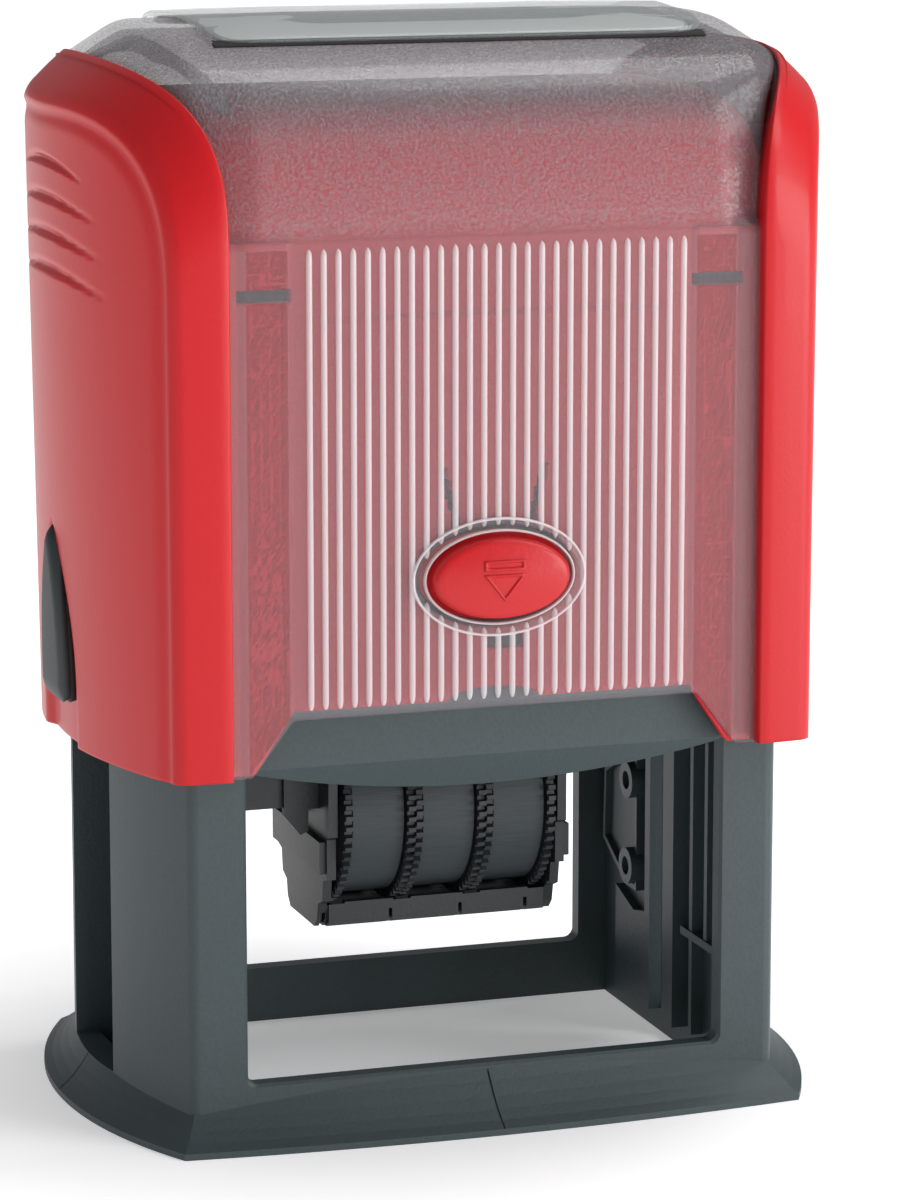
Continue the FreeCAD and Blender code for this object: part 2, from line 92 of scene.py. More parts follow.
def plastic(name, color, roughness, coat=0.0, specular=0.5):
    """A Principled material with its steady values set on the shader's own sockets."""
    material = bpy.data.materials.new(name)
    material.use_nodes = True
    shader = material.node_tree.nodes["Principled BSDF"]
    shader.inputs["Base Color"].default_value = (*color, 1)
    shader.inputs["Roughness"].default_value = roughness
    shader.inputs["Coat Weight"].default_value = coat
    shader.inputs["Specular IOR Level"].default_value = specular
    return material


def sheet_mesh(name, grids, flips=None, holes=None):
    """A mesh over several grids of points (rows, columns, xyz in mm): one quad for each cell, with
    the grids welded where they meet. A flipped grid's faces look the other way, and the cells
    that a hole marks are left out."""
    points, quads, start = [], [], 0
    for place, grid in enumerate(grids):
        rows, columns = grid.shape[:2]
        index = start + np.arange(rows * columns).reshape(rows, columns)
        cell = np.stack([index[:-1, :-1], index[:-1, 1:], index[1:, 1:], index[1:, :-1]], axis=-1)
        cell = cell.reshape(-1, 4)
        if holes and holes[place] is not None:
            cell = cell[~holes[place].reshape(-1)]
        quads.append(cell[:, ::-1] if flips and flips[place] else cell)
        points.append(grid.reshape(-1, 3))
        start += rows * columns
    mesh = bpy.data.meshes.new(name)
    mesh.from_pydata(np.concatenate(points) * MM, [], np.concatenate(quads).tolist())
    work = bmesh.new()
    work.from_mesh(mesh)
    bmesh.ops.remove_doubles(work, verts=work.verts, dist=2e-6)
    bmesh.ops.dissolve_degenerate(work, edges=work.edges, dist=1e-7)
    work.to_mesh(mesh)
    work.free()
    mesh.shade_smooth()
    return mesh


def piece(name, mesh, material, body):
    """An object at the origin with one material, riding on a body."""
    made = bpy.data.objects.new(name, mesh)
    mesh.materials.clear()
    mesh.materials.append(material)
    bpy.context.collection.objects.link(made)
    if body:
        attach(made, body)
    return made


FLOOR_REACH = 6000
floor_edge = np.linspace(-FLOOR_REACH, FLOOR_REACH, 3)
floor_x, floor_y = np.meshgrid(floor_edge, floor_edge)
floor_mesh = sheet_mesh("floor", [np.stack([floor_x, floor_y, 0 * floor_x], axis=-1)])
pale_floor = plastic("pale_floor", (0.90, 0.90, 0.91), 0.60)
nodes, links = pale_floor.node_tree.nodes, pale_floor.node_tree.links
nodes["Principled BSDF"].inputs["Emission Color"].default_value = (1, 1, 1, 1)
# The floor glows more with the distance from the stamp, so that only the ground near it is shaded.
place, away, glow = (nodes.new("ShaderNode" + kind) for kind in ("TexCoord", "VectorMath", "MapRange"))
away.operation = "LENGTH"
for socket, value in (("From Min", 0.02), ("From Max", 0.10), ("To Min", 0.24), ("To Max", 0.80)):
    glow.inputs[socket].default_value = value
links.new(place.outputs["Object"], away.inputs[0])
links.new(away.outputs["Value"], glow.inputs["Value"])
links.new(glow.outputs["Result"], nodes["Principled BSDF"].inputs["Emission Strength"])
floor = piece("floor", floor_mesh, pale_floor, None)


# --- Base frame ------------------------------------------------------------------------------
# The foot, the hollow column and its guides are one moulding in dark grey ABS. Its faces carry
# the fine spark-eroded grain of the mould, which scatters light and leaves it nearly matt.
def grain_group():
    """Spark-eroded mould grain: fine noise, as a height to bump with and as a small change of
    shade, with a slow drift of shade over the whole moulding."""
    group = bpy.data.node_groups.new("mould_grain", "ShaderNodeTree")
    face = group.interface
    face.new_socket("Color", in_out="INPUT", socket_type="NodeSocketColor")
    for name, value in (("Scale", 1500.0), ("Contrast", 0.1), ("Drift", 0.1), ("Depth", 0.2)):
        face.new_socket(name, in_out="INPUT", socket_type="NodeSocketFloat").default_value = value
    face.new_socket("Color", in_out="OUTPUT", socket_type="NodeSocketColor")
    face.new_socket("Normal", in_out="OUTPUT", socket_type="NodeSocketVector")
    nodes, links = group.nodes, group.links
    entry, out = nodes.new("NodeGroupInput"), nodes.new("NodeGroupOutput")
    place = nodes.new("ShaderNodeTexCoord")
    fine, slow = nodes.new("ShaderNodeTexNoise"), nodes.new("ShaderNodeTexNoise")
    fine.inputs["Detail"].default_value = 3.0
    slow.inputs["Scale"].default_value = 22.0
    links.new(entry.outputs["Scale"], fine.inputs["Scale"])
    for noise in (fine, slow):
        links.new(place.outputs["Object"], noise.inputs["Vector"])
    shade = entry.outputs["Color"]
    for noise, amount in ((fine, "Contrast"), (slow, "Drift")):
        centred = nodes.new("ShaderNodeMath")
        centred.operation = "SUBTRACT"
        links.new(noise.outputs["Fac"], centred.inputs[0])
        centred.inputs[1].default_value = 0.5
        lift = nodes.new("ShaderNodeMath")
        lift.operation = "MULTIPLY_ADD"
        links.new(centred.outputs[0], lift.inputs[0])
        links.new(entry.outputs[amount], lift.inputs[1])
        lift.inputs[2].default_value = 1.0
        tint = nodes.new("ShaderNodeVectorMath")
        tint.operation = "SCALE"
        links.new(shade, tint.inputs[0])
        links.new(lift.outputs[0], tint.inputs["Scale"])
        shade = tint.outputs["Vector"]
    bump = nodes.new("ShaderNodeBump")
    bump.inputs["Distance"].default_value = 0.0001
    links.new(entry.outputs["Depth"], bump.inputs["Strength"])
    links.new(fine.outputs["Fac"], bump.inputs["Height"])
    links.new(shade, out.inputs["Color"])
    links.new(bump.outputs["Normal"], out.inputs["Normal"])
    return group


mould_grain = grain_group()


def grained(material, scale, contrast, drift, depth):
    """Puts mould grain on a plastic, over the colour it already has."""
    nodes, links = material.node_tree.nodes, material.node_tree.links
    shader = nodes["Principled BSDF"]
    grain = nodes.new("ShaderNodeGroup")
    grain.node_tree = mould_grain
    grain.inputs["Color"].default_value = shader.inputs["Base Color"].default_value
    for name, value in (("Scale", scale), ("Contrast", contrast), ("Drift", drift), ("Depth", depth)):
        grain.inputs[name].default_value = value
    links.new(grain.outputs["Color"], shader.inputs["Base Color"])
    links.new(grain.outputs["Normal"], shader.inputs["Normal"])
    return material


def finish(nodes, material):
    """Gives CAD nodes that keep their own shape a finish."""
    for name in nodes:
        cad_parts[name].data.materials.clear()
        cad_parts[name].data.materials.append(material)


base_grey = grained(plastic("base_grey", (0.036, 0.055, 0.059), 0.50), 2600, 0.35, 0.12, 0.35)
finish(["base_frame"], base_grey)


# --- Casing side panels ----------------------------------------------------------------------
# Red ABS ends that bow outwards, with a band that turns round the front, the top and the back.
# Four finger grooves are sunk in each, above a pointed recess for the dark insert.
RISE_POWER = 2.7
HEM, HALF_DEPTH, CASING_TOP, CASING_RISE = 39.6, 27.4, 115.5, 24.0
SHOULDER, FALL, BAND_FALL = 28.5, 0.607, 0.8
END_EDGE, RIM_X, SEAM_EDGE = 34.2, 36.5, 28.3


def dome_path(half_depth, apex, rise, wall_steps, dome_steps):
    """The (y, z) path up the front wall, over a superellipse dome and down the back, its steps
    even along each stretch, and how far round from the walls to the dome each point is."""
    turn = np.linspace(-0.5 * np.pi, 0.5 * np.pi, 1601)
    y = half_depth * np.sign(turn) * np.abs(np.sin(turn)) ** (2 / RISE_POWER)
    z = apex - rise * (1 - np.abs(np.cos(turn)) ** (2 / RISE_POWER))
    run = np.concatenate([[0], np.cumsum(np.hypot(np.diff(y), np.diff(z)))])
    even = np.linspace(0, run[-1], dome_steps + 1)
    wall = np.linspace(0, 1, wall_steps + 1)[:-1]
    wall_z = HEM + wall * (apex - rise - HEM)
    path_y = np.concatenate([0 * wall - half_depth, np.interp(even, run, y), 0 * wall + half_depth])
    path_z = np.concatenate([wall_z, np.interp(even, run, z), wall_z[::-1]])
    lean = np.concatenate([wall, np.ones(dome_steps + 1), wall[::-1]])
    return path_y, path_z, lean


def end_bow(y, z):
    """How far the end stands out at (y, z): a parabola in y that swells a little upwards."""
    bulge = 6.0 + 1.1 * (z - HEM) / 66.0
    return END_EDGE + bulge * (1 - (y / HALF_DEPTH) ** 2)


def seam_x(y):
    """Where cover and end panel meet: it bows out from the front corner to mid depth."""
    return SEAM_EDGE + 7.8 * (1 - (np.clip(np.abs(y), 0, HALF_DEPTH) / HALF_DEPTH) ** 2.58)


def smooth_step(x):
    """0 below 0, 1 above 1, and a smooth S between."""
    x = np.clip(x, 0, 1)
    return x * x * (3 - 2 * x)


def arch_width(z, half, foot, tip):
    """Half the width of a pointed arch at height z: straight sides, then a parabola to its tip."""
    climb = np.clip((z - foot) / (tip - foot), 0, 1)
    return half * (1 - climb ** 2)


FINGER_GROOVES = ((100.8, 12.5, 1.6), (97.0, 15.5, 1.7), (93.3, 16.5, 1.8), (89.6, 17.3, 1.9))
GROOVE_DEPTH, RECESS_DEPTH = 0.75, 0.95


def end_relief(y, z):
    """How far the end is sunk at (y, z): lens-shaped grooves, each (height, half length, droop at
    its ends), steep on their lower side and easing out above, and the insert's recess."""
    depth = 0 * y
    for middle, half, droop in FINGER_GROOVES:
        along = np.clip(1 - (y / half) ** 2, 0, 1)
        across = (z - (middle - droop * (1 - along))) / (0.15 + 0.95 * along)
        depth = depth + GROOVE_DEPTH * along * np.where(across > 0, np.clip(1 - across, 0, 1) ** 2,
                                                        np.clip(1 + across / 0.45, 0, 1))
    inside = arch_width(z, 7.2, 46.0, 63.4) - np.abs(y)
    return depth + RECESS_DEPTH * smooth_step(inside / 2.6)


WALL_STEPS, DOME_STEPS, HAUNCH_STEPS = 180, 200, 46
CORNER, CORNER_SINK, BAND_DEPTH, WALL = 1.3, 0.26, 3.7, 1.0


def rim_point(depth):
    """The panel's border path (y, z, x) sunk by depth all round, and how far up its walls it is."""
    y, z, lean = dome_path(HALF_DEPTH - depth, CASING_TOP - FALL * (RIM_X - SHOULDER) - depth,
                           CASING_RISE - depth, WALL_STEPS, DOME_STEPS)
    z = np.where(z < HEM + 1e-6, HEM, z)
    z = z - FALL * (end_bow(y, z) - RIM_X) * lean
    return y, z, end_bow(y, z), lean


# Across the band, each row is (share of the way from the seam to the corner, how far it is sunk).
# The corner is a quarter round, and past it each row of the valley is (depth, how far it is cut).
SEAM_ROWS = ((0.0, 2.7), (0.0, 0.25), (0.02, 0.06), (0.05, 0.0), (0.3, 0.02), (0.55, 0.07),
             (0.8, 0.16), (1.0, CORNER_SINK))
VALLEY_ROWS = ((1.65, 0.16), (2.0, 0.24), (2.4, 0.21), (2.8, 0.12), (3.2, 0.04), (BAND_DEPTH, 0.0))
rows = []
corner_y, _, corner_x, _ = rim_point(0.0)
band_start = seam_x(corner_y) + 0.3
for share, sink in SEAM_ROWS:
    x = band_start + share * (corner_x - CORNER - band_start)
    y, z, _, lean = rim_point(sink)
    rows.append(np.stack([x, y, z + BAND_FALL * lean * (corner_x - x)], axis=-1))
for turn in np.linspace(0, 0.5 * np.pi, 7)[1:]:
    y, z, x, lean = rim_point(CORNER_SINK + (CORNER - CORNER_SINK) * (1 - math.cos(turn)))
    x = x - CORNER * (1 - math.sin(turn))
    rows.append(np.stack([x, y, z + BAND_FALL * lean * np.maximum(corner_x - x, 0)], axis=-1))
for sink, cut in VALLEY_ROWS:
    y, z, x, _ = rim_point(sink)
    rows.append(np.stack([x - cut, y, z], axis=-1))
band_grid = np.array(rows)

# The face is level rows between the two sides up to the haunch, then columns up to the crown.
edge_y, edge_z, _, _ = rim_point(BAND_DEPTH)
haunch = WALL_STEPS + HAUNCH_STEPS
crown_run = slice(haunch, len(edge_y) - haunch)
across = np.linspace(-1, 1, len(edge_y[crown_run]))
side_y = -edge_y[:haunch + 1, None] * across
side_z = np.repeat(edge_z[:haunch + 1, None], len(across), 1)
climb = np.linspace(0, 1, 24)[1:, None]
top_y = side_y[-1] + climb * (edge_y[crown_run] - side_y[-1])
top_z = side_z[-1] + climb * (edge_z[crown_run] - side_z[-1])
face_y, face_z = np.concatenate([side_y, top_y]), np.concatenate([side_z, top_z])
fade = smooth_step((24.0 - np.abs(face_y)) / 2) * smooth_step((107 - face_z) / 3)
face_x = end_bow(face_y, face_z) - end_relief(face_y, face_z) * fade
face_grid = np.stack([face_x, face_y, face_z], axis=-1)

casing_red = plastic("casing_red", (0.55, 0.006, 0.010), 0.38, coat=0.05, specular=0.32)
grained(casing_red, 2200, 0.10, 0.05, 0.16)
for side_name, sign in (("left", -1), ("right", 1)):
    turned = np.array([sign, 1, 1])
    mesh = sheet_mesh("end_panel_" + side_name, [band_grid * turned, face_grid * turned],
                      flips=[sign > 0, sign < 0])
    panel = piece("end_panel_" + side_name, mesh, casing_red, "casing")
    wall = panel.modifiers.new("wall", "SOLIDIFY")
    wall.thickness, wall.offset = WALL * MM, -1.0
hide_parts("casing_shell")


# --- Casing inner body -----------------------------------------------------------------------
# The red box inside the cover that slides over the base frame. Its front wall has a raised strip
# and a clip slot at each side, a lens-shaped ledge, and the opening for the lock button.
def pierced(grid, inside):
    """A grid with the corners of the cells that lie inside a hole marked as missing."""
    centre = 0.25 * (grid[:-1, :-1] + grid[1:, :-1] + grid[:-1, 1:] + grid[1:, 1:])
    return inside(centre[..., 0], centre[..., 2])


def oval_snap(grid, half_x, half_z, z0, reach):
    """Moves the points near an oval onto it, so that a hole cut there has a clean edge."""
    x, z = grid[..., 0] / half_x, (grid[..., 2] - z0) / half_z
    radius = np.maximum(np.hypot(x, z), 1e-6)
    near = np.abs(radius - 1) < reach
    grid[..., 0] = np.where(near, x / radius * half_x, grid[..., 0])
    grid[..., 2] = np.where(near, z / radius * half_z + z0, grid[..., 2])
    return grid


BUTTON_Z = 59.0
INNER_DEPTH, INNER_HALF, CROWN_FOOT, CROWN_RISE = 24.75, 31, 94.0, 13.2
STRIP_IN, STRIP_OUT, LEVEL_FOOT = 21.5, 27.3, 49


def trapezium_foot(x, top, top_x, foot_x):
    """The lower edge of a wall with a trapezium cut out of it: high in the middle, HEM outside."""
    return HEM + (top - HEM) * np.clip((foot_x - np.abs(x)) / (foot_x - top_x), 0, 1)


# The front wall's rows go evenly from its foot to LEVEL_FOOT and are level above it. Its foot has
# a trapezium cut out, with a low round at the middle for the latch.
front_x = np.unique(np.concatenate([np.linspace(-INNER_HALF, INNER_HALF, 187),
                                    [-STRIP_OUT, -STRIP_IN, STRIP_IN, STRIP_OUT]]))
level = np.unique(np.concatenate([np.linspace(LEVEL_FOOT, CROWN_FOOT, 151), [88.0, 89.3]]))
foot = trapezium_foot(front_x, 45.9, 21.6, 25.9) + 1.3 * np.sqrt(np.clip(1 - (front_x / 5) ** 2, 0, 1))
wall_z = np.concatenate([foot + np.linspace(0, 1, 12)[:-1, None] * (LEVEL_FOOT - foot),
                         level[:, None] + 0 * front_x])
wall_x = front_x + 0 * wall_z
strip = smooth_step((np.abs(wall_x) - 21.4) / 0.5) * smooth_step((27.0 - np.abs(wall_x)) / 0.5)
lens = np.clip(1 - (wall_x / 20.5) ** 2, 0, 1)
ledge = (wall_z - 86.1) / (0.25 + 1.9 * lens)
sunk = 0.55 * lens ** 0.5 * np.where((ledge > 0) & (ledge < 1), 1 - ledge, 0)
front_wall = np.stack([wall_x, -INNER_DEPTH - 0.35 * strip + sunk, wall_z], axis=-1)
front_wall = oval_snap(front_wall, 8.8, 5.6, BUTTON_Z, 0.045)


def front_holes(x, z):
    """The button's oval, the slits beside its spring tongue, the latch's eye and two clip slots."""
    oval = (x / 8.8) ** 2 + ((z - BUTTON_Z) / 5.6) ** 2 < 1
    slits = (np.abs(np.abs(x) - (4.0 + (z - 64) * 0.24)) < 0.42) & (z > 63.5) & (z < 70.2)
    eye = (np.abs(x - 1.3) < 1.9) & (np.abs(z - 51.9) < 0.7)
    clips = (np.abs(x) > STRIP_IN) & (np.abs(x) < STRIP_OUT) & (z > 88.0) & (z < 89.3)
    return oval | slits | eye | clips


# The back wall stops higher in the middle, where the ink pad cartridge slides out under it.
back_x = np.unique(np.concatenate([np.linspace(-INNER_HALF, INNER_HALF, 63), [-28.0, -27.8, 27.8, 28.0]]))
back_x, back_climb = np.meshgrid(back_x, np.linspace(0, 1, 40))
back_foot = np.where(np.abs(back_x) < 27.9, 53.0, HEM)
back_wall = np.stack([back_x, 0 * back_x + INNER_DEPTH, back_foot + (CROWN_FOOT - back_foot) * back_climb],
                     axis=-1)

# The crown is a superellipse arch with closed ends. Past FACET_START it turns in towards them, as
# the cover's dome does.
CROWN_HALF, FACET_START, FACET_SLOPE = 29.6, 24.9, 0.3
ARCH_STEPS, CROWN_COLUMNS = 60, 81
crown_turn = np.linspace(0, np.pi, ARCH_STEPS + 1)
crown_y = -INNER_DEPTH * np.sign(np.cos(crown_turn)) * np.abs(np.cos(crown_turn)) ** 0.5
crown_z = CROWN_FOOT + CROWN_RISE * np.abs(np.sin(crown_turn)) ** 0.62
crown_x = CROWN_HALF * np.sin(np.linspace(-0.5 * np.pi, 0.5 * np.pi, CROWN_COLUMNS))
crown_edge = 0.9 * (1 - np.sqrt(np.clip(1 - (np.abs(crown_x) / CROWN_HALF) ** 24, 0, 1)))
turned_in = FACET_SLOPE * np.maximum(np.abs(crown_x) - FACET_START, 0)
inner_crown = np.stack([np.broadcast_to(crown_x, (ARCH_STEPS + 1, CROWN_COLUMNS)),
                        crown_y[:, None] - np.sign(crown_y)[:, None] * turned_in,
                        crown_z[:, None] - crown_edge[None, :] * np.sin(crown_turn)[:, None]], axis=-1)
across = np.linspace(0, 1, 9)[None, :, None]
crown_ends = []
for column in (0, -1):
    front_half = inner_crown[:ARCH_STEPS // 2 + 1, column][:, None, :]
    back_half = inner_crown[ARCH_STEPS // 2:, column][::-1][:, None, :]
    crown_ends.append(front_half + across * (back_half - front_half))
inner_mesh = sheet_mesh("casing_inner_body", [front_wall, back_wall, inner_crown, *crown_ends],
                        flips=[False, True, False, True, False],
                        holes=[pierced(front_wall, front_holes), None, None, None, None])
inner_red = grained(plastic("inner_red", (0.72, 0.015, 0.025), 0.4), 2200, 0.10, 0.05, 0.16)
inner_body = piece("casing_inner_body", inner_mesh, inner_red, "casing")
wall = inner_body.modifiers.new("wall", "SOLIDIFY")
wall.thickness, wall.offset = 1.3 * MM, -1.0

# The guide arms hang in the base frame's side channels and carry the date unit's pivot pins.
# They are moulded with the casing, so they are red, with rounded lower ends.
ARM_IN, ARM_OUT, ARM_SOFT, ARM_MIDDLE, ARM_TOP, ARM_FOOT = 31.45, 33.95, 0.15, 71.0, 104.0, 41.0
arm_turn = np.linspace(0, 2 * np.pi, 49)
arm_y = 6.9 * np.sign(np.cos(arm_turn)) * np.abs(np.cos(arm_turn)) ** 0.25
round_foot = ARM_FOOT - 4.0 * np.abs(np.sin(arm_turn)) ** 0.5
arm_z = np.where(np.sin(arm_turn) < 0, round_foot, ARM_TOP)
arm_rows = [np.stack([0 * arm_y + x, arm_y * grow, ARM_MIDDLE + (arm_z - ARM_MIDDLE) * (1 if grow else 0)],
                     axis=-1)
            for x, grow in ((ARM_IN, 0.0), (ARM_IN, 0.97), (ARM_IN + ARM_SOFT, 1.0),
                            (ARM_OUT - ARM_SOFT, 1.0), (ARM_OUT, 0.97), (ARM_OUT, 0.0))]
arms_grid = np.array(arm_rows)
arms_mesh = sheet_mesh("guide_arms", [arms_grid, arms_grid * np.array([-1, 1, 1])], flips=[False, True])
piece("guide_arms", arms_mesh, inner_red, "casing")


# --- End inserts -----------------------------------------------------------------------------
# Dark grey pointed inserts pressed into the recess of each end panel, with a dark strip of painted
# shade round them for the shadow in their gap. They follow the panel's bow.
def arch_patch(grow, sink):
    """A grid over a pointed arch that follows the end's bow, grown and sunk by so many mm."""
    climb, share = np.meshgrid(np.linspace(0, 1, 40), np.linspace(-1, 1, 25), indexing="ij")
    z = 44.6 - grow + (16.6 + 2 * grow) * climb
    y = share * arch_width(z, 4.0 + grow, 46.0, 61.2 + grow)
    edge = np.minimum(1 - np.abs(share), np.minimum(climb, 1 - climb) * 4)
    round_off = 0.35 * (1 - smooth_step(edge / 0.16))
    return np.stack([end_bow(y, z) - sink - round_off, y, z], axis=-1)


insert_grey = grained(plastic("insert_grey", (0.013, 0.020, 0.021), 0.55), 2600, 0.3, 0.1, 0.3)
painted_shade = plastic("painted_shade", (0.012, 0.008, 0.008), 0.7)
for side_name, sign in (("left", -1), ("right", 1)):
    turned = np.array([sign, 1, 1])
    patch = arch_patch(0.0, 0.72) * turned
    insert = piece("insert_" + side_name, sheet_mesh("insert_" + side_name, [patch], flips=[sign > 0]),
                   insert_grey, "casing")
    thick = insert.modifiers.new("thick", "SOLIDIFY")
    thick.thickness, thick.offset = 1.5 * MM, -1.0
    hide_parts("side_insert_" + side_name)
    # Painted shade: a dark strip a little wider than the insert, just under its edge, for the shadow in the
    # gap.
    shade_strip = arch_patch(0.28, 0.92) * turned
    insert_shade_mesh = sheet_mesh("insert_painted_shade_" + side_name, [shade_strip], flips=[sign > 0])
    gap = piece("insert_painted_shade_" + side_name, insert_shade_mesh, painted_shade, "casing")
    thick = gap.modifiers.new("thick", "SOLIDIFY")
    thick.thickness, thick.offset = 1.0 * MM, -1.0


# --- Clear cover -----------------------------------------------------------------------------
# Smoky clear styrene over the casing's front, top and back. Its dome is frosted like orange
# peel, its front is ribbed, and a raised oval collar guards the lock button.
def clear_plastic(name, color, alpha, roughness, coat):
    """A tinted clear plastic: partly see-through, with a glossy skin."""
    material = plastic(name, color, roughness, coat)
    shader = material.node_tree.nodes["Principled BSDF"]
    shader.inputs["Alpha"].default_value = alpha
    shader.inputs["Coat Roughness"].default_value = 0.12
    return material


def frosted(material, density, peel_share):
    """Orange peel on a clear plastic: fine dimples that bump it and vary its shade and density.
    Density is a list of (height in mm, alpha) steps up the wall, and peel_share the same for the
    depth of the peel."""
    nodes, links = material.node_tree.nodes, material.node_tree.links
    shader = nodes["Principled BSDF"]
    place, split = nodes.new("ShaderNodeTexCoord"), nodes.new("ShaderNodeSeparateXYZ")
    peel = nodes.new("ShaderNodeTexNoise")
    peel.inputs["Scale"].default_value = 2900.0
    peel.inputs["Detail"].default_value = 1.0
    links.new(place.outputs["Object"], peel.inputs["Vector"])
    links.new(place.outputs["Object"], split.inputs["Vector"])

    def climb(steps):
        """A value that changes evenly with height from one step to the next."""
        scaled, ramp = nodes.new("ShaderNodeMath"), nodes.new("ShaderNodeValToRGB")
        scaled.operation = "DIVIDE"
        scaled.inputs[1].default_value = 120 * MM
        steps_made = ramp.color_ramp.elements
        for at, (height, value) in enumerate(steps):
            step = steps_made[at] if at < 2 else steps_made.new(1.0)
            step.position, step.color = height / 120, (value, value, value, 1)
        links.new(split.outputs["Z"], scaled.inputs[0])
        links.new(scaled.outputs[0], ramp.inputs["Fac"])
        return ramp.outputs["Color"]

    def times(first, second):
        """The product of two values."""
        product = nodes.new("ShaderNodeMath")
        product.operation = "MULTIPLY"
        links.new(first, product.inputs[0])
        links.new(second, product.inputs[1])
        return product.outputs[0]

    contrast = nodes.new("ShaderNodeMapRange")
    for socket, value in (("From Min", 0.35), ("From Max", 0.65), ("To Min", -1.0), ("To Max", 1.0)):
        contrast.inputs[socket].default_value = value
    links.new(peel.outputs["Fac"], contrast.inputs["Value"])
    depth = times(contrast.outputs["Result"], climb(peel_share))
    denser = nodes.new("ShaderNodeMath")
    denser.operation = "MULTIPLY_ADD"
    denser.inputs[1].default_value = 0.10
    links.new(depth, denser.inputs[0])
    links.new(climb(density), denser.inputs[2])
    links.new(denser.outputs[0], shader.inputs["Alpha"])
    bump = nodes.new("ShaderNodeBump")
    bump.inputs["Distance"].default_value = 0.00004
    links.new(depth, bump.inputs["Height"])
    links.new(bump.outputs["Normal"], shader.inputs["Normal"])
    return material


COVER_FACE, COVER_RISE, WALL_TOP = 26.2, 21.5, 93.2


def dome_height(y, apex):
    """The height of the cover's dome at depth y, for a sheet whose middle is at apex."""
    return apex - COVER_RISE * (1 - (1 - (np.abs(y) / COVER_FACE) ** RISE_POWER) ** (1 / RISE_POWER))


COVER_WALL, COVER_DOME = 110, 90
COVER_APEX, COVER_SHOULDER, FOLD, COVER_FOOT, BACK_FOOT = 114.7, 30.5, 94.6, 45.3, 53.0
cover_y, cover_z, cover_lean = dome_path(COVER_FACE, COVER_APEX, COVER_RISE, COVER_WALL, COVER_DOME)
FOOT_IN, FOOT_OUT, FRONT_REACH = 22.0, 26.3, 28.1
foot_bends = np.array([-FOOT_IN, FOOT_IN, -FOOT_OUT, FOOT_OUT]) / FRONT_REACH
share = np.unique(np.round(np.concatenate([np.linspace(-1, 1, 115), foot_bends]), 6))
reach = seam_x(cover_y) - 0.2
cover_x = share[None, :] * reach[:, None]
shoulder_fall = 0.3 * FALL * np.log1p(np.exp((np.abs(cover_x) - COVER_SHOULDER) / 0.3))
path_step = np.arange(len(cover_y))
wall_share = np.clip(np.minimum(path_step, path_step[::-1]) / COVER_WALL, 0, 1)
foot = np.where((cover_y < 0)[:, None], trapezium_foot(cover_x, COVER_FOOT, FOOT_IN, FOOT_OUT), BACK_FOOT)
cover_height = foot + wall_share[:, None] * (WALL_TOP - foot)
cover_height = np.where(wall_share[:, None] < 1, cover_height, cover_z[:, None])
cover_height = cover_height - shoulder_fall * cover_lean[:, None] ** 3
cover_depth = np.repeat(cover_y[:, None], len(share), 1)
recess = 0.14 * smooth_step((cover_height - FOLD) / 0.25) * smooth_step((108 - cover_height) / 8)
above_fold = smooth_step((cover_height - FOLD) / 0.25) * smooth_step((111 - cover_height) / 6)
facet = FACET_SLOPE * np.maximum(np.abs(cover_x) - FACET_START, 0) * above_fold
cover_depth = cover_depth - np.sign(cover_depth) * (recess + facet)
cover_grid = np.stack([cover_x, cover_depth, cover_height], axis=-1)
front_rows = cover_grid[:COVER_WALL]
cover_grid[:COVER_WALL] = oval_snap(front_rows, 8.6, 5.4, BUTTON_Z, 0.045)
cut = pierced(cover_grid, lambda x, z: (x / 8.6) ** 2 + ((z - BUTTON_Z) / 5.4) ** 2 < 1)
cut[COVER_WALL:] = False
smoky = frosted(clear_plastic("smoky_clear", (0.27, 0.25, 0.27), 0.25, 0.28, 0.7),
                [(0, 0.26), (94.4, 0.26), (94.9, 0.30), (104, 0.27), (110, 0.44), (120, 0.60)],
                [(0, 0.2), (94.3, 0.2), (95.0, 1.0), (120, 1.0)])
cover_mesh = sheet_mesh("clear_cover", [cover_grid], flips=[False], holes=[cut])
cover = piece("clear_cover", cover_mesh, smoky, "casing")
wall = cover.modifiers.new("wall", "SOLIDIFY")
wall.thickness, wall.offset = 1.1 * MM, -1.0
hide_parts("translucent_cover")

# A dark strip of painted shade lies in the seam between the dome and the end panels, for the
# shadow in it. A smoky stiffening flange runs under each shoulder of the dome; its wide dark
# back part is painted shade, for the dark empty inside seen through the dome.
on_dome = np.nonzero(cover_z > 97.5)[0]
seam_shade_y, seam_shade_z = cover_y[on_dome] * (1 - 0.018), cover_z[on_dome] - 0.42
seam_shade_rows = [np.stack([seam_x(seam_shade_y) + side, seam_shade_y, seam_shade_z - FALL * (seam_x(seam_shade_y) - COVER_SHOULDER)
                        * smooth_step((seam_shade_z - 92) / 6) ** 3], axis=-1) for side in (-0.34, 0.0, 0.34)]
flange_y = np.linspace(15, -21.0, 90)
turn_in = smooth_step((-flange_y - 8) / 17)
flange_x = 31.0 - 4.6 * turn_in
flange_rows = []
# Behind the middle each flange widens; this wide dark part is painted shade for the dark inside seen
# through the dome.
for side in (-1.0, -0.5, 0.5, 1.0):
    x = flange_x + side * (0.9 + 1.9 * smooth_step(flange_y / 8))
    z = dome_height(flange_y * 1.03, COVER_APEX - 1.75) - FALL * np.maximum(x - COVER_SHOULDER, 0)
    flange_rows.append(np.stack([x, flange_y * 0.97, z], axis=-1))
smoke_and_shade = clear_plastic("flange_smoke_and_shade", (0.045, 0.07, 0.075), 0.42, 0.4, 0.2)
